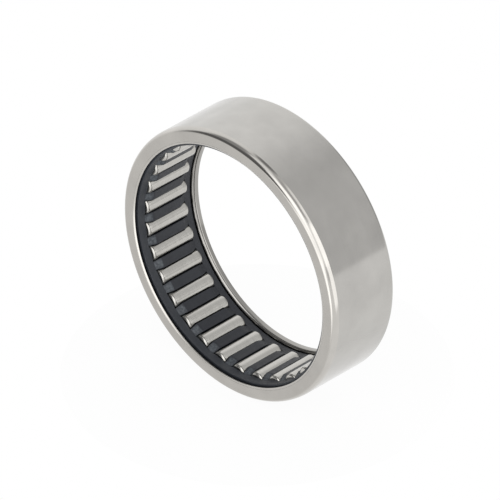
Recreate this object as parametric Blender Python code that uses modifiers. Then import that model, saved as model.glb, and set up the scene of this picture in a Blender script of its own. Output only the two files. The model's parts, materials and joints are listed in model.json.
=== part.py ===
"""A drawn cup needle roller bearing, open at both ends: a thin steel cup, a moulded cage and
thirty-one needle rollers. Metres, +Z up. The axis of the bearing lies along Y and passes through the origin,
which is at the middle of its width. The front face, with the rolled lip, looks towards -Y.

Each piece is modelled with the bearing's axis along its own Z and the front face on top. The cup
is turned a quarter about X, and carries the cage, which carries the rollers."""

import math

import bmesh
import bpy
from mathutils import Matrix, Vector

MM = 0.001

# Driving sizes of the bearing
SHAFT_DIAMETER = 35.0 * MM
WIDTH = 12.0 * MM
CUP_WALL = 0.97 * MM
ROLLER_DIAMETER = 2.5 * MM
ROLLER_COUNT = 31
FIRST_ROLLER_ANGLE = math.radians(3.85)

# Lips of the cup: the front one is rolled in over the cage to a thin edge, the back one is drawn
FRONT_LIP_THICKNESS = 0.6 * MM
FRONT_LIP_EDGE = 0.1 * MM
FRONT_LIP_TAPER = 0.8 * MM
FRONT_LIP_NOSE_RADIUS = 0.45 * MM
BACK_LIP_THICKNESS = 1.0 * MM
FRONT_LIP_TO_SHAFT = 1.1 * MM
BACK_LIP_TO_SHAFT = 0.45 * MM
FRONT_CORNER_RADIUS = 0.8 * MM
BACK_CORNER_RADIUS = 0.5 * MM

# Rings and bars of the cage: the bars stand in towards the shaft between their two ramps
RING_WIDTH = 0.75 * MM
RING_THICKNESS = 1.48 * MM
BAR_TO_SHAFT = 0.25 * MM
BAR_LEDGE = 0.25 * MM
BAR_RAMP = 1.05 * MM
WINDOW_WIDTH = 2.1 * MM
RETAINER_DEPTH = 0.65 * MM

# Edges and clearances: the cage lies slid forward in the cup
ROLLER_EDGE = 0.2 * MM
ROLLER_RUNNING_CLEARANCE = 0.03 * MM
CAGE_RUNNING_CLEARANCE = 0.3 * MM
FRONT_END_PLAY = 0.2 * MM
BACK_END_PLAY = 0.6 * MM
POCKET_CLEARANCE = 0.05 * MM
POCKET_END_CLEARANCE = 0.1 * MM

# Facets round each turned piece
CUP_STEPS = 120
CAGE_STEPS = 120
ROLLER_STEPS = 16
CORNER_STEPS = 3
CREASE_ANGLE = math.radians(35.0)
AXIS_MERGE = 0.001 * MM

# Radii that follow from the sizes
ROLLER_RADIUS = ROLLER_DIAMETER / 2
PITCH_RADIUS = SHAFT_DIAMETER / 2 + ROLLER_RADIUS
RACEWAY_RADIUS = SHAFT_DIAMETER / 2 + ROLLER_DIAMETER + ROLLER_RUNNING_CLEARANCE
CUP_RADIUS = RACEWAY_RADIUS + CUP_WALL
FRONT_LIP_RADIUS = SHAFT_DIAMETER / 2 + FRONT_LIP_TO_SHAFT
BACK_LIP_RADIUS = SHAFT_DIAMETER / 2 + BACK_LIP_TO_SHAFT
CAGE_RADIUS = RACEWAY_RADIUS - CAGE_RUNNING_CLEARANCE
RING_BORE_RADIUS = CAGE_RADIUS - RING_THICKNESS
BAR_BORE_RADIUS = SHAFT_DIAMETER / 2 + BAR_TO_SHAFT

# Heights along the axis, from the front face on top to the back face below
FRONT_FACE = WIDTH / 2
BACK_FACE = -WIDTH / 2
FRONT_LIP_INSIDE = FRONT_FACE - FRONT_LIP_THICKNESS
BACK_LIP_INSIDE = BACK_FACE + BACK_LIP_THICKNESS
CAGE_FRONT = FRONT_LIP_INSIDE - FRONT_END_PLAY
CAGE_BACK = BACK_LIP_INSIDE + BACK_END_PLAY
POCKET_FRONT = CAGE_FRONT - RING_WIDTH
POCKET_BACK = CAGE_BACK + RING_WIDTH
POCKET_LENGTH = POCKET_FRONT - POCKET_BACK
POCKET_MIDDLE = (POCKET_FRONT + POCKET_BACK) / 2
ROLLER_LENGTH = POCKET_LENGTH - 2 * POCKET_END_CLEARANCE


def clear_scene():
    for old in list(bpy.data.objects):
        bpy.data.objects.remove(old, do_unlink=True)


def new_collection(name):
    collection = bpy.data.collections.new(name)
    bpy.context.scene.collection.children.link(collection)
    return collection


def finish(name, colour, roughness, metallic):
    material = bpy.data.materials.new(name)
    material.use_nodes = True
    shader = material.node_tree.nodes["Principled BSDF"]
    shader.inputs["Base Color"].default_value = (*colour, 1.0)
    shader.inputs["Roughness"].default_value = roughness
    shader.inputs["Metallic"].default_value = metallic
    return material


def corner(centre, radius, start, end):
    """Points (radius, height) along an arc of a section, from one angle to another in degrees."""
    angles = [math.radians(start + (end - start) * step / CORNER_STEPS) for step in range(CORNER_STEPS + 1)]
    return [(centre[0] + radius * math.cos(a), centre[1] + radius * math.sin(a)) for a in angles]


def settle(piece):
    """Makes the piece's evaluated shape its own mesh and shades it smooth between its creases."""
    graph = bpy.context.evaluated_depsgraph_get()
    shape = bpy.data.meshes.new_from_object(piece.evaluated_get(graph))
    piece.modifiers.clear()
    piece.data = shape
    shape.shade_smooth()
    shape.set_sharp_from_angle(angle=CREASE_ANGLE)


def turned(name, section, steps, closed, material, collection):
    """A section in the XZ half plane, listed down its outer side, turned once about Z."""
    count = len(section)
    edges = [(i, i + 1) for i in range(count - 1)]
    if closed:
        edges.append((count - 1, 0))
    mesh = bpy.data.meshes.new(name)
    mesh.from_pydata([(radius, 0.0, height) for radius, height in section], edges, [])
    mesh.materials.append(material)
    piece = bpy.data.objects.new(name, mesh)
    collection.objects.link(piece)
    screw = piece.modifiers.new("turn", "SCREW")
    screw.axis = "Z"
    screw.steps = steps
    screw.render_steps = steps
    screw.use_merge_vertices = True
    screw.merge_threshold = AXIS_MERGE
    settle(piece)
    return piece


def make_cup(collection, material):
    """Drawn shell whose two lips turn in over the ends of the cage."""
    nose_reach = FRONT_LIP_NOSE_RADIUS * math.sin(math.radians(45.0))
    nose = (FRONT_LIP_RADIUS + nose_reach, FRONT_FACE - FRONT_LIP_NOSE_RADIUS)
    front = (CUP_RADIUS - FRONT_CORNER_RADIUS, FRONT_FACE - FRONT_CORNER_RADIUS)
    back = (CUP_RADIUS - BACK_CORNER_RADIUS, BACK_FACE + BACK_CORNER_RADIUS)
    section = corner(nose, FRONT_LIP_NOSE_RADIUS, 135, 90)
    section += corner(front, FRONT_CORNER_RADIUS, 90, 0)
    section += corner(back, BACK_CORNER_RADIUS, 0, -90)
    section += [
        (BACK_LIP_RADIUS, BACK_FACE),
        (BACK_LIP_RADIUS, BACK_LIP_INSIDE),
        (RACEWAY_RADIUS, BACK_LIP_INSIDE),
        (RACEWAY_RADIUS, FRONT_LIP_INSIDE),
        (FRONT_LIP_RADIUS + FRONT_LIP_TAPER, FRONT_LIP_INSIDE),
        (FRONT_LIP_RADIUS, section[0][1] - FRONT_LIP_EDGE),
    ]
    cup = turned("cup", section, CUP_STEPS, True, material, collection)
    cup.rotation_euler.x = math.pi / 2
    return cup


def roller_turns():
    """Angle of each roller round the cage, counted from the first."""
    return [2 * math.pi * index / ROLLER_COUNT for index in range(ROLLER_COUNT)]


def roller_centre(turn):
    return (PITCH_RADIUS * math.cos(turn), PITCH_RADIUS * math.sin(turn), POCKET_MIDDLE)


def make_pocket_cutters(collection):
    """One prism for each roller: as wide as the roller with its clearance, then narrowed towards the
    shaft to the window between two bars, which is too narrow for the roller to fall through."""
    half_pocket = ROLLER_RADIUS + POCKET_CLEARANCE
    half_window = WINDOW_WIDTH / 2
    bore = BAR_BORE_RADIUS - PITCH_RADIUS
    past_bore = bore - RETAINER_DEPTH / 2
    past_window = half_window - (half_pocket - half_window) / 2
    outside = CAGE_RADIUS - PITCH_RADIUS + CAGE_RUNNING_CLEARANCE
    side = [(past_bore, past_window), (bore + RETAINER_DEPTH, half_pocket), (outside, half_pocket)]
    outline = side + [(out, -across) for out, across in reversed(side)]
    shape = bmesh.new()
    for turn in roller_turns():
        place = Matrix.Translation(roller_centre(turn)) @ Matrix.Rotation(turn, 4, "Z")
        low = [shape.verts.new(place @ Vector((*point, -POCKET_LENGTH / 2))) for point in outline]
        high = [shape.verts.new(place @ Vector((*point, POCKET_LENGTH / 2))) for point in outline]
        shape.faces.new(low)
        shape.faces.new(reversed(high))
        for i in range(len(outline)):
            shape.faces.new((low[i - 1], high[i - 1], high[i], low[i]))
    bmesh.ops.recalc_face_normals(shape, faces=shape.faces)
    mesh = bpy.data.meshes.new("pocket_cutters")
    shape.to_mesh(mesh)
    shape.free()
    cutters = bpy.data.objects.new("pocket_cutters", mesh)
    cutters.hide_render = True
    cutters.display_type = "WIRE"
    collection.objects.link(cutters)
    return cutters


def make_cage(collection, material, cutters):
    """Moulded sleeve, thick along the bars and thinner at its two rings, with a pocket for each roller."""
    section = [
        (CAGE_RADIUS, CAGE_FRONT),
        (CAGE_RADIUS, CAGE_BACK),
        (RING_BORE_RADIUS, CAGE_BACK),
        (RING_BORE_RADIUS, POCKET_BACK + BAR_LEDGE),
        (BAR_BORE_RADIUS, POCKET_BACK + BAR_LEDGE + BAR_RAMP),
        (BAR_BORE_RADIUS, POCKET_FRONT - BAR_LEDGE - BAR_RAMP),
        (RING_BORE_RADIUS, POCKET_FRONT - BAR_LEDGE),
        (RING_BORE_RADIUS, CAGE_FRONT),
    ]
    cage = turned("cage", section, CAGE_STEPS, True, material, collection)
    pockets = cage.modifiers.new("pockets", "BOOLEAN")
    pockets.operation = "DIFFERENCE"
    pockets.solver = "EXACT"
    pockets.object = cutters
    settle(cage)
    return cage


def make_rollers(collection, material, cage):
    """Needle rollers with flat ends and broken edges, each on its own axis in its pocket."""
    half = ROLLER_LENGTH / 2
    section = [
        (0.0, half),
        (ROLLER_RADIUS - ROLLER_EDGE, half),
        (ROLLER_RADIUS, half - ROLLER_EDGE),
        (ROLLER_RADIUS, ROLLER_EDGE - half),
        (ROLLER_RADIUS - ROLLER_EDGE, -half),
        (0.0, -half),
    ]
    rollers = [turned("roller_01", section, ROLLER_STEPS, False, material, collection)]
    for number in range(2, ROLLER_COUNT + 1):
        copy = bpy.data.objects.new(f"roller_{number:02d}", rollers[0].data)
        collection.objects.link(copy)
        rollers.append(copy)
    for roller, turn in zip(rollers, roller_turns()):
        roller.parent = cage
        roller.location = roller_centre(turn)
        roller.rotation_euler.z = turn


def main():
    clear_scene()
    bearing = new_collection("needle_roller_bearing")
    cutters = new_collection("cutters")
    satin_steel = finish("satin_drawn_steel", (0.42, 0.42, 0.40), 0.38, 1.0)
    ground_steel = finish("ground_roller_steel", (0.60, 0.60, 0.58), 0.22, 1.0)
    polyamide = finish("black_glass_filled_polyamide", (0.022, 0.022, 0.028), 0.48, 0.0)

    cup = make_cup(bearing, satin_steel)
    cage = make_cage(bearing, polyamide, make_pocket_cutters(cutters))
    cage.parent = cup
    cage.rotation_euler.z = FIRST_ROLLER_ANGLE
    make_rollers(bearing, ground_steel, cage)


main()
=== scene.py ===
"""Looks of the drawn cup needle roller bearing: fine turned steel for the cup and the rollers, a moulded
cage with its pockets, and the studio round them. Metres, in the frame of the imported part: the axis of
the bearing lies along Y, and the front face looks towards -Y."""

import json
import math

import bmesh
import bpy
import numpy as np
from mathutils import Matrix, Vector


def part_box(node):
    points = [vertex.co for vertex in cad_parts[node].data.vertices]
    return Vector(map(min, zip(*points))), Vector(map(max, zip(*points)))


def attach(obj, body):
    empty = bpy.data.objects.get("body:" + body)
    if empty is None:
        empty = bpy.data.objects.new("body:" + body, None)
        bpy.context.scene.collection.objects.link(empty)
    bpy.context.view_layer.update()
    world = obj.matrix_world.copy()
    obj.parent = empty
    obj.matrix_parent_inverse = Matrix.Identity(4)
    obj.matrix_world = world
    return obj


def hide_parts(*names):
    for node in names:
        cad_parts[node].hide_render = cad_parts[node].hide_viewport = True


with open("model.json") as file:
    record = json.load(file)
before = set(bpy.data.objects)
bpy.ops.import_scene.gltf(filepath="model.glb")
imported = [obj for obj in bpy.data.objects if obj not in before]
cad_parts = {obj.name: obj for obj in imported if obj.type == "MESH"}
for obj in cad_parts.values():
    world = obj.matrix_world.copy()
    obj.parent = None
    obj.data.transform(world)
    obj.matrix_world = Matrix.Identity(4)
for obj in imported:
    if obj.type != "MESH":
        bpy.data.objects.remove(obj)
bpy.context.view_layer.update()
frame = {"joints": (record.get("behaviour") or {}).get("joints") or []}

MM = 0.001
WELD_DISTANCE = 0.0001 * MM

# Sizes that the frame gives
CUP_LOW, CUP_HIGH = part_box("cup")
CAGE_LOW, CAGE_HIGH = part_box("cage")
ROLLER_LOW, ROLLER_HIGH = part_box("roller_01")
ROLLER_AXES = {
    joint["child"]: joint["pos_m"] for joint in frame["joints"] if joint["child"].startswith("roller")
}
CUP_RADIUS = CUP_HIGH.x
CAGE_RADIUS = CAGE_HIGH.x
FIRST_AXIS = ROLLER_AXES["roller_01"]
PITCH_RADIUS = math.hypot(FIRST_AXIS[0], FIRST_AXIS[2])
FIRST_ANGLE = math.atan2(FIRST_AXIS[2], FIRST_AXIS[0])
ROLLER_COUNT = len(ROLLER_AXES)
HALF_PITCH = math.pi / ROLLER_COUNT

# Sizes of the cup's section
RACEWAY_RADIUS = 20.03 * MM
FRONT_LIP_RADIUS = 18.63 * MM
FRONT_LIP_EDGE = 0.02 * MM
FRONT_LIP_NOSE = 0.13 * MM
FRONT_LIP_CURL = (0.17 * MM, 0.07 * MM)
FRONT_LIP_LEAN = 0.46 * MM
FRONT_LIP_TAPER = 0.8 * MM
FRONT_LIP_INSIDE = CUP_LOW.y + 0.6 * MM
FRONT_CORNER = 1.03 * MM
FRONT_CORNER_LEAN = 0.14 * MM
BACK_LIP_RADIUS = 17.78 * MM
BACK_LIP_FLARE = 0.05 * MM
BACK_LIP_INSIDE = CUP_HIGH.y - 1.08 * MM

# How far the roundings of that section reach along their two sides, and how full they are
LIP_EDGE_REACH = 0.02 * MM
LIP_NOSE_REACH = 0.008 * MM
LIP_CURL_REACH = (0.09 * MM, 0.15 * MM)
LIP_LEAN_REACH = 0.15 * MM
FRONT_CORNER_REACH = (0.78 * MM, 0.98 * FRONT_CORNER)
FRONT_CORNER_FULLNESS = 2.9
WALL_REACH = 0.02 * MM
BACK_CORNER_REACH = 0.5 * MM
BACK_EDGE_REACH = 0.06 * MM
BACK_LIP_REACH = 0.5 * MM
RACEWAY_REACH = 0.25 * MM
TAPER_REACH = 0.1 * MM
ELLIPSE = 2

# Sizes of a roller
ROLLER_RADIUS = 1.25 * MM
ROLLER_FRONT = ROLLER_LOW.y + 0.08 * MM
ROLLER_BACK = ROLLER_HIGH.y + 0.04 * MM
ROLLER_EDGE = 0.3 * MM
ROLLER_EDGE_LENGTH = 0.36 * MM

# Sizes of the cage
RING_BORE_RADIUS = 18.25 * MM
RING_FRONT = CAGE_LOW.y - 0.35 * MM
RING_BACK = CAGE_HIGH.y + 0.36 * MM
RING_STOP = 0.2 * MM
STOP_FLATNESS = 4
BAR_BORE_RADIUS = 17.75 * MM
BAR_RAMP = 1.2 * MM
POCKET_HALF_WIDTH = 1.3 * MM
POCKET_WAIST = -0.35 * MM
POCKET_TAPER = 0.25 / 0.65
POCKET_FRONT = ROLLER_LOW.y + 0.02 * MM
POCKET_BACK = ROLLER_HIGH.y + 0.1 * MM
POCKET_REACH = 1.6 * MM
CAGE_EDGE = 0.05 * MM
CAGE_EDGE_ANGLE = math.radians(32)

# How finely the pieces are divided
CUP_STEPS = 360
SECTION_SPACING = 0.25 * MM
ARC_STEPS = 12
ROLLER_STEPS = 72
ROLLER_END_POINTS = 6
ROLLER_SIDE_POINTS = 12
BAR_ACROSS = 6
POCKET_ACROSS = 6
POCKET_WALL_POINTS = 1201
WALL_STEPS = 3
RING_STEPS = 6
RAMP_STEPS = 8
BAR_STEPS = 14
CAGE_EDGE_STEPS = 2

# Sizes of the patterns in the finishes
CUP_MARK_SPACING = 0.2 * MM
CUP_MARK_RUN = 50 / 3 * MM
CUP_CLOUD = 4 * MM
CUP_MARK_DEPTH = 0.003 * MM
NEEDLE_MARK_SPACING = 0.6 * MM
NEEDLE_MARK_RUN = 10 / 3 * MM
NEEDLE_MARK_DEPTH = 0.003 * MM
CAGE_FLOW = 2 * MM
CAGE_FIBRE = 0.35 * MM
CAGE_FIBRE_DEPTH = 0.01 * MM

# Stretches over which a tone comes in, none of it at the first limit and all of it at the second: along
# the axis, or for the back lip by radius, and for the painted sheen on a ramp from its middle and on a bar
# by a cosine across it
FACE_TONE = {"From Min": CUP_LOW.y + 0.16 * MM, "From Max": CUP_LOW.y + 0.03 * MM}
CORNER_TONE = {"From Min": CUP_LOW.y + 1.06 * MM, "From Max": CUP_LOW.y + 1.0 * MM}
BACK_LIP_TONE = {"From Min": BACK_LIP_RADIUS + 0.5 * MM, "From Max": BACK_LIP_RADIUS + 0.3 * MM}
# Spans of the painted sheen on the front ramps and across the bars
RAMP_SHEEN_SPAN = {"From Min": BAR_RAMP / 2 + 0.05 * MM, "From Max": BAR_RAMP / 2 - 0.1 * MM}
BAR_SHEEN_SPAN = {"From Min": 0.1, "From Max": 0.9}
# Span of the painted sheen on the front ring
RING_SHEEN_SPAN = {"From Min": POCKET_FRONT + 0.05 * MM, "From Max": POCKET_FRONT - 0.15 * MM}

# How much of the ramps' painted sheen the front ring has
RING_PAINTED_SHEEN = 0.14

# Where the bulk of a noise's values lies
NOISE_BULK = {"From Min": 0.3, "From Max": 0.7}

# Colour sockets of a mix node, whose names are shared with its sockets for plain numbers
FIRST, SECOND, MIXED = 6, 7, 2

# The photograph's view
CAMERA_AZIMUTH = math.radians(44.92)
CAMERA_ELEVATION = math.radians(33.56)
CAMERA_DISTANCE = 1.26
CAMERA_FAR = 10
FRAME_PIXELS = 500
PIXELS_PER_MM = 7.111
CENTRE_PIXEL = (257.4, 249.9)
SENSOR_MM = 36.0

# The white table
TABLE_RADIUS = 28 * MM
TABLE_SIDES = 96
TABLE_OWN_WHITE = 0.94

# The studio: its grey, then its patches, each with the direction of its centre, the angle in degrees
# from there up to which it is full, the angle at which it is gone, and its brightness
STUDIO_GREY = 0.72
STUDIO = (
    ("broad white wall, back left", (-0.845, 0.497, 0.199), 25, 75, 1.08),
    ("grey wall, back", (0.2, 0.95, 0.25), 18, 31, 0.45),
    ("white ground below the horizon", (0, 0, -1), 86, 88, 1.0),
    ("low lamp, front", (0.0, -0.985, -0.14), 22, 33, 2.2),
    ("dark wall, front left", (-0.48, -0.77, 0.42), 26, 42, 0.15),
    ("dark ceiling, left", (-0.52, -0.2, 0.83), 12, 28, 0.35),
    ("grey ceiling, right", (0.37, -0.12, 0.91), 18, 28, 0.55),
    ("broad lamp, front right", (0.46, -0.8, 0.385), 23, 35, 1.75),
    ("white ceiling, middle", (-0.04, -0.2, 0.98), 10, 20, 1.1),
    ("high lamp, front right", (0.36, -0.62, 0.7), 14, 31, 1.95),
    ("white wall, right", (0.85, -0.25, 0.45), 12, 24, 1.3),
    ("lamp, right", (0.9, 0.2, 0.37), 18, 22, 1.9),
    ("low lamp, right", (0.95, 0.22, -0.12), 13, 20, 1.65),
    ("small high lamp, right", (0.58, 0.36, 0.73), 6, 12, 1.4),
    ("small ceiling lamp, right", (0.39, 0.34, 0.855), 4, 10, 1.2),
    ("small dark card, ceiling", (-0.08, 0.36, 0.93), 6, 13, 0.25),
)


def linear(code):
    """Linear RGBA of an sRGB colour written as six hex digits."""
    srgb = np.array([int(code[i : i + 2], 16) for i in (1, 3, 5)]) / 255
    low = srgb / 12.92
    high = ((srgb + 0.055) / 1.055) ** 2.4
    return (*np.where(srgb <= 0.04045, low, high), 1.0)


def add(tree, kind, values=None, links=None, **settings):
    """Adds a node with its settings, the values of its sockets, and links from other nodes' sockets."""
    made = tree.nodes.new(kind)
    for name, value in settings.items():
        setattr(made, name, value)
    for socket, value in (values or {}).items():
        made.inputs[socket].default_value = value
    for socket, (source, output) in (links or {}).items():
        tree.links.new(source.outputs[output], made.inputs[socket])
    return made


def new_material(name):
    """A material and its node tree, empty and ready for a shader."""
    material = bpy.data.materials.new(name)
    material.use_nodes = True
    material.node_tree.nodes.clear()
    return material, material.node_tree


def rounded_section(corners):
    """Closed outline through corners (radius, y, reach before, reach after, fullness), in order.

    Each corner is a quarter of a superellipse carried onto its two sides: the corner, plus the reach
    before times one less a power of the sine, plus the reach after times one less the same power of the
    cosine, of an angle from 0 to 90 degrees. The power is 2 over the fullness, and a fullness of 2 is an
    ellipse. Straight runs are divided to the section spacing."""
    count = len(corners)
    points = np.array([corner[:2] for corner in corners])
    angle = np.linspace(0, math.pi / 2, ARC_STEPS + 1)[:, None]
    outline = []
    for i, (_, _, reach_before, reach_after, fullness) in enumerate(corners):
        before = points[i - 1] - points[i]
        after = points[(i + 1) % count] - points[i]
        before *= reach_before / np.linalg.norm(before)
        after *= reach_after / np.linalg.norm(after)
        sine, cosine = (np.abs(wave) ** (2 / fullness) for wave in (np.sin(angle), np.cos(angle)))
        outline.append(points[i] + before * (1 - sine) + after * (1 - cosine))
    runs = []
    for i in range(count):
        end, start = outline[i][-1], outline[(i + 1) % count][0]
        pieces = max(1, int(np.linalg.norm(start - end) / SECTION_SPACING))
        share = np.linspace(0, 1, pieces + 1)[1:-1, None]
        runs += [outline[i], end + (start - end) * share]
    return np.concatenate(runs)


def turn(section, steps):
    """Points of a section (radius, y) carried once round the Y axis: (step, section point, xyz). X and Z
    are the radius times the cosine and the sine of each step's angle."""
    angle = np.linspace(0, 2 * math.pi, steps, endpoint=False)[:, None]
    radius, along = section[None, :, 0], section[None, :, 1]
    return np.stack(np.broadcast_arrays(radius * np.cos(angle), along, radius * np.sin(angle)), axis=-1)


def wrapped_faces(rows, columns, wrap_columns):
    """Quads of a grid whose rows close on themselves and whose columns may."""
    row = np.arange(rows)[:, None]
    column = np.arange(columns if wrap_columns else columns - 1)[None, :]
    next_row, next_column = (row + 1) % rows, (column + 1) % columns
    quads = [row * columns + column, next_row * columns + column,
             next_row * columns + next_column, row * columns + next_column]
    return np.stack(np.broadcast_arrays(*quads), axis=-1).reshape(-1, 4)


def piece_from(name, points, faces, material):
    """A smooth piece at the origin with its place in its mesh, faces turned outwards."""
    mesh = bpy.data.meshes.new(name)
    mesh.from_pydata(points.reshape(-1, 3), [], faces)
    shape = bmesh.new()
    shape.from_mesh(mesh)
    bmesh.ops.remove_doubles(shape, verts=shape.verts, dist=WELD_DISTANCE)
    bmesh.ops.recalc_face_normals(shape, faces=shape.faces)
    shape.to_mesh(mesh)
    shape.free()
    mesh.shade_smooth()
    mesh.materials.append(material)
    piece = bpy.data.objects.new(name, mesh)
    bpy.context.scene.collection.objects.link(piece)
    return piece


def dress(piece, node):
    """Puts a piece in the place of its node's solid, and hides that solid."""
    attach(piece, node)
    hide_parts(node)


def make_cup(material):
    """Drawn cup: a closed section of wall, curled front lip and back lip, turned round the axis."""
    nose_top = CUP_LOW.y + FRONT_LIP_NOSE
    section = rounded_section([
        (FRONT_LIP_RADIUS, nose_top + FRONT_LIP_EDGE, LIP_EDGE_REACH, LIP_NOSE_REACH, ELLIPSE),
        (FRONT_LIP_RADIUS, nose_top, LIP_NOSE_REACH, LIP_EDGE_REACH, ELLIPSE),
        (FRONT_LIP_RADIUS + FRONT_LIP_CURL[0], CUP_LOW.y + FRONT_LIP_CURL[1], *LIP_CURL_REACH, ELLIPSE),
        (FRONT_LIP_RADIUS + FRONT_LIP_LEAN, CUP_LOW.y, LIP_LEAN_REACH, LIP_LEAN_REACH, ELLIPSE),
        (CUP_RADIUS - FRONT_CORNER_LEAN, CUP_LOW.y, *FRONT_CORNER_REACH, FRONT_CORNER_FULLNESS),
        (CUP_RADIUS, CUP_LOW.y + FRONT_CORNER, WALL_REACH, WALL_REACH, ELLIPSE),
        (CUP_RADIUS, CUP_HIGH.y, BACK_CORNER_REACH, BACK_CORNER_REACH, ELLIPSE),
        (BACK_LIP_RADIUS + BACK_LIP_FLARE, CUP_HIGH.y, BACK_EDGE_REACH, BACK_EDGE_REACH, ELLIPSE),
        (BACK_LIP_RADIUS, BACK_LIP_INSIDE, BACK_LIP_REACH, BACK_LIP_REACH, ELLIPSE),
        (RACEWAY_RADIUS, BACK_LIP_INSIDE, RACEWAY_REACH, RACEWAY_REACH, ELLIPSE),
        (RACEWAY_RADIUS, FRONT_LIP_INSIDE, RACEWAY_REACH, RACEWAY_REACH, ELLIPSE),
        (FRONT_LIP_RADIUS + FRONT_LIP_TAPER, FRONT_LIP_INSIDE, TAPER_REACH, TAPER_REACH, ELLIPSE),
    ])
    points = turn(section, CUP_STEPS)
    cup = piece_from("drawn_cup", points, wrapped_faces(*points.shape[:2], True), material)
    dress(cup, "cup")


def make_rollers(material):
    """Needle rollers: flat ends, edges that are a quarter of an ellipse and a plain cylinder, as one
    section turned round Y and moved to each roller's axis."""
    half = (ROLLER_BACK - ROLLER_FRONT) / 2
    quarter = np.linspace(0, math.pi / 2, ARC_STEPS + 1)
    flat = np.linspace(0, ROLLER_RADIUS - ROLLER_EDGE, ROLLER_END_POINTS)[:-1]
    front = np.stack([
        np.concatenate([flat, ROLLER_RADIUS - ROLLER_EDGE * (1 - np.sin(quarter))]),
        np.concatenate([flat * 0 - half, -half + ROLLER_EDGE_LENGTH * (1 - np.cos(quarter))]),
    ], axis=-1)
    side = np.linspace(ROLLER_EDGE_LENGTH - half, half - ROLLER_EDGE_LENGTH, ROLLER_SIDE_POINTS)[1:-1]
    wall = np.stack([side * 0 + ROLLER_RADIUS, side], axis=-1)
    section = np.concatenate([front, wall, front[::-1] * (1, -1)])
    points = turn(section, ROLLER_STEPS)
    faces = wrapped_faces(*points.shape[:2], False)
    for node, place in ROLLER_AXES.items():
        middle = np.array([place[0], (ROLLER_FRONT + ROLLER_BACK) / 2, place[2]])
        dress(piece_from("needle_" + node, points + middle, faces, material), node)


def pocket_half_angle(radius):
    """Angle from a roller's axis line to the pocket wall, at a radius. The wall stands at the half width
    outside the waist, and leans inwards by the taper between the waist and the bore. Its points, over
    the pocket's reach on both sides of the pitch radius, are read off between neighbours."""
    outward = np.linspace(-POCKET_REACH, POCKET_REACH, POCKET_WALL_POINTS)
    width = POCKET_HALF_WIDTH + np.minimum(0, (outward - POCKET_WAIST) * POCKET_TAPER)
    wall_radius = np.hypot(PITCH_RADIUS + outward, width)
    return np.interp(radius, wall_radius, np.arctan2(width, PITCH_RADIUS + outward))


def half_bar(radius):
    """Angle from a bar's middle line to the pocket wall, at a radius: what the pocket leaves."""
    return HALF_PITCH - pocket_half_angle(radius)


def bar_bore(along):
    """Inner radius of the cage along the axis: the ring's bore at the pocket's ends, and a straight ramp
    to the bar's own bore."""
    from_end = np.minimum(along - POCKET_FRONT, POCKET_BACK - along)
    rise = np.clip(from_end / BAR_RAMP, 0, 1)
    return RING_BORE_RADIUS + (BAR_BORE_RADIUS - RING_BORE_RADIUS) * rise


def cage_patches():
    """One sector of the cage, a bar and the pocket beside it, as grids of (radius, angle, y).

    On the bar the angle is the share across times the half angle left by the pocket, and on a pocket
    it is the share across times the pocket's half angle, so neighbouring patches meet point to point.
    Before each roller's front end the ring's bore swells inwards by the stop's height times one less the
    fourth power of the share across, and fades with the square of the way left to the ring's end."""
    bar = np.linspace(-1, 1, BAR_ACROSS + 1)
    pocket = np.linspace(-1, 1, POCKET_ACROSS + 1)
    ramp = POCKET_FRONT + np.linspace(0, BAR_RAMP, RAMP_STEPS + 1)
    far_ramp = POCKET_FRONT + POCKET_BACK - ramp[::-1]
    middle = np.linspace(ramp[-1], far_ramp[0], BAR_STEPS + 1)[1:-1]
    along = np.concatenate([ramp, middle, far_ramp])
    bore = bar_bore(along)
    waist = math.hypot(PITCH_RADIUS + POCKET_WAIST, POCKET_HALF_WIDTH)
    above_waist = np.linspace(waist, CAGE_RADIUS, WALL_STEPS + 1)[:, None]
    patches = []

    # The bar's bore, its outside and its two flanks
    patches.append((bore[:, None], half_bar(bore)[:, None] * bar, along[:, None]))
    patches.append((CAGE_RADIUS, half_bar(CAGE_RADIUS) * bar, along[:, None]))
    flank = np.concatenate([bore[None, :], np.repeat(above_waist, len(along), axis=1)])
    for side in (-1, 1):
        patches.append((flank, side * half_bar(flank), along))

    # The pocket's two end walls
    wall = np.concatenate([[[RING_BORE_RADIUS]], above_waist])
    stop = RING_STOP * (1 - pocket**STOP_FLATNESS)
    for end, height in ((POCKET_FRONT, stop), (POCKET_BACK, 0 * stop)):
        radius = np.repeat(wall, len(pocket), axis=1)
        radius[0] -= height
        patches.append((radius, HALF_PITCH + pocket_half_angle(wall) * pocket, end))

    # The bore, the outside and the end face of the two rings
    inner, outer = (
        np.concatenate([half_bar(radius) * bar, (HALF_PITCH + pocket_half_angle(radius) * pocket)[1:]])
        for radius in (RING_BORE_RADIUS, CAGE_RADIUS)
    )
    share = np.linspace(0, 1, RING_STEPS + 1)[:, None]
    stops = np.concatenate([0 * bar, stop[1:]])
    for pocket_end, inner_end, outer_end, heights in (
        (POCKET_FRONT, RING_FRONT, CAGE_LOW.y, stops), (POCKET_BACK, RING_BACK, CAGE_HIGH.y, 0 * stops)
    ):
        bore_radius = RING_BORE_RADIUS - heights * (1 - share) ** 2
        face_radius = RING_BORE_RADIUS + (CAGE_RADIUS - RING_BORE_RADIUS) * share
        patches.append((bore_radius, inner, pocket_end + (inner_end - pocket_end) * share))
        patches.append((CAGE_RADIUS, outer, pocket_end + (outer_end - pocket_end) * share))
        patches.append((face_radius, inner + (outer - inner) * share,
                        inner_end + (outer_end - inner_end) * share))
    return [np.broadcast_arrays(*patch) for patch in patches]


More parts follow.
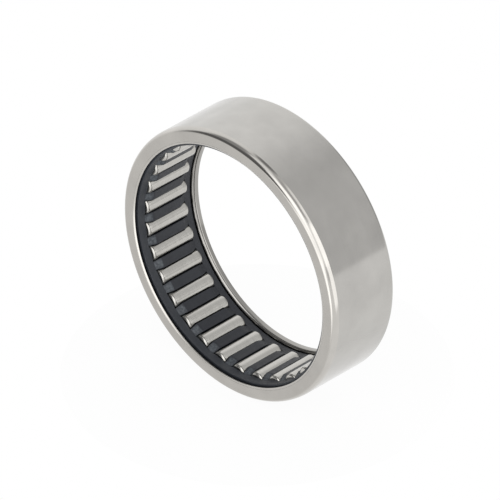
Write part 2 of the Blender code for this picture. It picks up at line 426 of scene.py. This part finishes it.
def make_cage(material):
    """Moulded cage: the patches of one sector repeated round the axis, welded, with its edges rounded. X
    and Z are the radius times the cosine and the sine of a patch's angle plus its sector's."""
    sector_angles = FIRST_ANGLE + HALF_PITCH + 2 * HALF_PITCH * np.arange(ROLLER_COUNT)
    points, faces, count = [], [], 0
    for radius, angle, along in cage_patches():
        rows, columns = radius.shape
        turned = angle[None] + sector_angles[:, None, None]
        grid = np.broadcast_arrays(radius * np.cos(turned), along[None], radius * np.sin(turned))
        row, column = np.arange(rows - 1)[:, None], np.arange(columns - 1)[None, :]
        corner = (row * columns + column).reshape(-1, 1)
        quads = corner + np.array([0, columns, columns + 1, 1])
        each = count + np.arange(ROLLER_COUNT)[:, None, None] * rows * columns
        points.append(np.stack(grid, axis=-1).reshape(-1, 3))
        faces.append((each + quads[None]).reshape(-1, 4))
        count += len(points[-1])
    cage = piece_from("moulded_cage", np.concatenate(points), np.concatenate(faces), material)
    edges = cage.modifiers.new("moulded_edges", "BEVEL")
    edges.width = CAGE_EDGE
    edges.segments = CAGE_EDGE_STEPS
    edges.limit_method = "ANGLE"
    edges.angle_limit = CAGE_EDGE_ANGLE
    dress(cage, "cage")


def strip_steel():
    """Case-hardened strip steel, drawn into a cup and tumbled: a satin grey metal in soft clouds of tone,
    a little paler on the front corner, duller on the rolled front face and darkest in the back lip, with
    fine marks that run round the axis. The real marks are some 0.03 mm apart, too fine to show, and are
    drawn 0.2 mm apart."""
    material, tree = new_material("satin_drawn_strip_steel")
    place = add(tree, "ShaderNodeTexCoord")
    parts = add(tree, "ShaderNodeSeparateXYZ", links={0: (place, "Object")})
    across = add(tree, "ShaderNodeVectorMath", {1: (1, 0, 1)}, {0: (place, "Object")}, operation="MULTIPLY")
    radius = add(tree, "ShaderNodeVectorMath", links={0: (across, 0)}, operation="LENGTH")
    lay = add(tree, "ShaderNodeMath", links={0: (parts, "Y"), 1: (radius, "Value")}, operation="ADD")
    round_axis = add(tree, "ShaderNodeCombineXYZ",
                     links={"X": (parts, "X"), "Y": (lay, 0), "Z": (parts, "Z")})
    per_metre = (1 / CUP_MARK_RUN, 1 / CUP_MARK_SPACING, 1 / CUP_MARK_RUN)
    stretched = add(tree, "ShaderNodeMapping", {"Scale": per_metre}, {"Vector": (round_axis, 0)})
    marks = add(tree, "ShaderNodeTexNoise", {"Scale": 1.0, "Detail": 3.0}, {"Vector": (stretched, 0)})
    clouds = add(tree, "ShaderNodeTexNoise", {"Scale": 1 / CUP_CLOUD, "Detail": 4.0},
                 {"Vector": (place, "Object")})
    corner = add(tree, "ShaderNodeMapRange", CORNER_TONE, {"Value": (parts, "Y")})
    face = add(tree, "ShaderNodeMapRange", FACE_TONE, {"Value": (parts, "Y")})
    back_lip = add(tree, "ShaderNodeMapRange", BACK_LIP_TONE, {"Value": (radius, "Value")})
    tone = add(tree, "ShaderNodeMix", {FIRST: linear("#bbb9b5"), SECOND: linear("#c3c0bb")},
               {0: (corner, 0)}, data_type="RGBA")
    tone = add(tree, "ShaderNodeMix", {SECOND: linear("#b4b1ac")}, {0: (face, 0), FIRST: (tone, MIXED)},
               data_type="RGBA")
    tone = add(tree, "ShaderNodeMix", {SECOND: linear("#a09e9a")}, {0: (back_lip, 0), FIRST: (tone, MIXED)},
               data_type="RGBA")
    shade = add(tree, "ShaderNodeMapRange", {**NOISE_BULK, "To Min": 0.94, "To Max": 1.04},
                {"Value": (clouds, 0)})
    colour = add(tree, "ShaderNodeMix", {0: 1.0}, {FIRST: (tone, MIXED), SECOND: (shade, 0)},
                 data_type="RGBA", blend_type="MULTIPLY")
    gloss = add(tree, "ShaderNodeMapRange", {**NOISE_BULK, "To Min": 0.1, "To Max": 0.17},
                {"Value": (marks, 0)})
    relief = add(tree, "ShaderNodeBump", {"Strength": 0.15, "Distance": CUP_MARK_DEPTH},
                 {"Height": (marks, 0)})
    shader = add(tree, "ShaderNodeBsdfPrincipled", {"Metallic": 1.0},
                 {"Base Color": (colour, MIXED), "Roughness": (gloss, 0), "Normal": (relief, 0)})
    add(tree, "ShaderNodeOutputMaterial", links={"Surface": (shader, "BSDF")})
    return material


def needle_steel():
    """Through-hardened bearing steel, ground: a bright grey metal, a little paler than the cup and softer
    in its gloss, with grinding lines round each needle. The real lines are some 0.01 mm apart and are
    drawn 0.6 mm apart to show."""
    material, tree = new_material("ground_bearing_steel")
    place = add(tree, "ShaderNodeTexCoord")
    per_metre = (1 / NEEDLE_MARK_RUN, 1 / NEEDLE_MARK_SPACING, 1 / NEEDLE_MARK_RUN)
    stretched = add(tree, "ShaderNodeMapping", {"Scale": per_metre}, {"Vector": (place, "Object")})
    marks = add(tree, "ShaderNodeTexNoise", {"Scale": 1.0, "Detail": 2.0}, {"Vector": (stretched, 0)})
    colour = add(tree, "ShaderNodeMix", {FIRST: linear("#b7b5b0"), SECOND: linear("#c5c3be")},
                 {0: (marks, 0)}, data_type="RGBA")
    gloss = add(tree, "ShaderNodeMapRange", {**NOISE_BULK, "To Min": 0.18, "To Max": 0.22},
                {"Value": (marks, 0)})
    relief = add(tree, "ShaderNodeBump", {"Strength": 0.04, "Distance": NEEDLE_MARK_DEPTH},
                 {"Height": (marks, 0)})
    shader = add(tree, "ShaderNodeBsdfPrincipled", {"Metallic": 1.0},
                 {"Base Color": (colour, MIXED), "Roughness": (gloss, 0), "Normal": (relief, 0)})
    add(tree, "ShaderNodeOutputMaterial", links={"Surface": (shader, "BSDF")})
    return material


def cage_polyamide():
    """Glass-filled polyamide, moulded: blue-black with a soft uneven sheen where the fibres lie close
    under the skin, and a painted sheen, a paler colour in patches, on the bars' front ramps and very
    slightly on the front ring. The fibre mottle, some 0.2 mm in life, is drawn at 0.35 mm to show."""
    material, tree = new_material("moulded_glass_filled_polyamide")
    place = add(tree, "ShaderNodeTexCoord")
    parts = add(tree, "ShaderNodeSeparateXYZ", links={0: (place, "Object")})
    flow = add(tree, "ShaderNodeTexNoise", {"Scale": 1 / CAGE_FLOW, "Detail": 3.0},
               {"Vector": (place, "Object")})
    fibres = add(tree, "ShaderNodeTexNoise", {"Scale": 1 / CAGE_FIBRE, "Detail": 3.0},
                 {"Vector": (place, "Object")})
    body = add(tree, "ShaderNodeMix", {FIRST: linear("#1b1e25"), SECOND: linear("#25282f")},
               {0: (flow, 0)}, data_type="RGBA")

    # The painted sheen, a paler colour standing for the light the tilted ramps catch: over the length of
    # each front ramp, in patches, and towards the bar's middle line, where a cosine with one wave to each
    # bar is 1. The front ring has a little of this painted sheen all round
    ramp_middle = POCKET_FRONT + BAR_RAMP / 2
    off_ramp = add(tree, "ShaderNodeMath", {1: -ramp_middle}, {0: (parts, "Y")}, operation="ADD")
    off_ramp = add(tree, "ShaderNodeMath", links={0: (off_ramp, 0)}, operation="ABSOLUTE")
    painted_sheen = add(tree, "ShaderNodeMapRange", RAMP_SHEEN_SPAN, {"Value": (off_ramp, 0)})
    patchy = add(tree, "ShaderNodeMapRange", {**NOISE_BULK, "To Min": 0.2, "To Max": 1.2},
                 {"Value": (fibres, 0)})
    painted_sheen = add(tree, "ShaderNodeMath", links={0: (painted_sheen, 0), 1: (patchy, 0)}, operation="MULTIPLY")
    angle = add(tree, "ShaderNodeMath", links={0: (parts, "Z"), 1: (parts, "X")}, operation="ARCTAN2")
    turns = add(tree, "ShaderNodeMath", {1: ROLLER_COUNT, 2: math.pi - FIRST_ANGLE * ROLLER_COUNT},
                {0: (angle, 0)}, operation="MULTIPLY_ADD")
    across = add(tree, "ShaderNodeMath", links={0: (turns, 0)}, operation="COSINE")
    middle = add(tree, "ShaderNodeMapRange", BAR_SHEEN_SPAN, {"Value": (across, 0)})
    painted_sheen = add(tree, "ShaderNodeMath", links={0: (painted_sheen, 0), 1: (middle, 0)}, operation="MULTIPLY")
    # Painted sheen on the front ring, a little all round
    ring = add(tree, "ShaderNodeMapRange", {**RING_SHEEN_SPAN, "To Max": RING_PAINTED_SHEEN}, {"Value": (parts, "Y")})
    painted_sheen = add(tree, "ShaderNodeMath", links={0: (painted_sheen, 0), 1: (ring, 0)}, operation="MAXIMUM")

    # Paler colour where the sheen is painted
    colour = add(tree, "ShaderNodeMix", {SECOND: linear("#565b60")}, {0: (painted_sheen, 0), FIRST: (body, MIXED)},
                 data_type="RGBA")
    gloss = add(tree, "ShaderNodeMapRange", {**NOISE_BULK, "To Min": 0.42, "To Max": 0.56},
                {"Value": (fibres, 0)})
    relief = add(tree, "ShaderNodeBump", {"Strength": 0.4, "Distance": CAGE_FIBRE_DEPTH},
                 {"Height": (fibres, 0)})
    shader = add(tree, "ShaderNodeBsdfPrincipled",
                 links={"Base Color": (colour, MIXED), "Roughness": (gloss, 0), "Normal": (relief, 0)})
    add(tree, "ShaderNodeOutputMaterial", links={"Surface": (shader, "BSDF")})
    return material


def make_floor():
    """White table top at the foot of the rim. What the camera and the steel see of it is mostly its own
    white, and the rest is lit, so the shadow stays."""
    material, tree = new_material("white_table")
    path = add(tree, "ShaderNodeLightPath")
    seen = add(tree, "ShaderNodeMath", links={0: (path, "Is Camera Ray"), 1: (path, "Is Glossy Ray")},
               operation="MAXIMUM")
    seen = add(tree, "ShaderNodeMath", links={0: (seen, 0), 1: (path, "Is Transmission Ray")},
               operation="MAXIMUM")
    share = add(tree, "ShaderNodeMath", {1: TABLE_OWN_WHITE}, {0: (seen, 0)}, operation="MULTIPLY")
    lit = add(tree, "ShaderNodeBsdfDiffuse", {"Color": linear("#fdfdfd")})
    white = add(tree, "ShaderNodeEmission", {"Color": linear("#ffffff"), "Strength": 1.0})
    mixed = add(tree, "ShaderNodeMixShader", links={0: (share, 0), 1: (lit, 0), 2: (white, 0)})
    add(tree, "ShaderNodeOutputMaterial", links={"Surface": (mixed, "Shader")})
    mesh = bpy.data.meshes.new("floor")
    shape = bmesh.new()
    place = Matrix.Translation((0, 0, CUP_LOW.z))
    bmesh.ops.create_circle(shape, cap_ends=True, segments=TABLE_SIDES, radius=TABLE_RADIUS, matrix=place)
    shape.to_mesh(mesh)
    shape.free()
    mesh.materials.append(material)
    floor = bpy.data.objects.new("floor", mesh)
    bpy.context.scene.collection.objects.link(floor)


def make_world():
    """Studio walls as soft patches of brightness by direction: each patch is full inside its first
    angle from its centre and gone at its second, and lies over the patches before it."""
    world = bpy.data.worlds.new("studio")
    world.use_nodes = True
    tree = world.node_tree
    tree.nodes.clear()
    direction = add(tree, "ShaderNodeTexCoord")
    below = None
    for name, centre, full, gone, level in STUDIO:
        along = add(tree, "ShaderNodeVectorMath", {1: Vector(centre).normalized()},
                    {0: (direction, "Generated")}, operation="DOT_PRODUCT")
        limits = {"From Min": math.cos(math.radians(gone)), "From Max": math.cos(math.radians(full))}
        share = add(tree, "ShaderNodeMapRange", limits, {"Value": (along, "Value")},
                    interpolation_type="SMOOTHSTEP")
        values = {SECOND: (level, level, level, 1.0)}
        links = {0: (share, 0)}
        if below is None:
            values[FIRST] = (STUDIO_GREY, STUDIO_GREY, STUDIO_GREY, 1.0)
        else:
            links[FIRST] = (below, MIXED)
        below = add(tree, "ShaderNodeMix", values, links, data_type="RGBA", label=name)
    background = add(tree, "ShaderNodeBackground", {"Strength": 1.0}, {"Color": (below, MIXED)})
    add(tree, "ShaderNodeOutputWorld", links={"Surface": (background, "Background")})
    bpy.context.scene.world = world


def make_camera():
    """Long lens at the photograph's angle, moved aside so that the bearing's centre falls on its pixel."""
    back = Vector((math.sin(CAMERA_AZIMUTH) * math.cos(CAMERA_ELEVATION),
                   -math.cos(CAMERA_AZIMUTH) * math.cos(CAMERA_ELEVATION), math.sin(CAMERA_ELEVATION)))
    right = Vector((math.cos(CAMERA_AZIMUTH), math.sin(CAMERA_AZIMUTH), 0))
    up = back.cross(right)
    middle = FRAME_PIXELS / 2
    aside = (middle - CENTRE_PIXEL[0]) / PIXELS_PER_MM * MM
    raised = (CENTRE_PIXEL[1] - middle) / PIXELS_PER_MM * MM
    lens = bpy.data.cameras.new("camera")
    lens.sensor_width = SENSOR_MM
    lens.lens = SENSOR_MM * PIXELS_PER_MM * CAMERA_DISTANCE / MM / FRAME_PIXELS
    lens.clip_end = CAMERA_FAR
    camera = bpy.data.objects.new("camera", lens)
    camera.matrix_world = Matrix((right, up, back)).transposed().to_4x4()
    camera.location = back * CAMERA_DISTANCE + right * aside + up * raised
    bpy.context.scene.collection.objects.link(camera)
    bpy.context.scene.camera = camera


make_camera()
make_cup(strip_steel())
make_rollers(needle_steel())
make_cage(cage_polyamide())
make_floor()
make_world()

bpy.context.scene.view_settings.view_transform = "Standard"
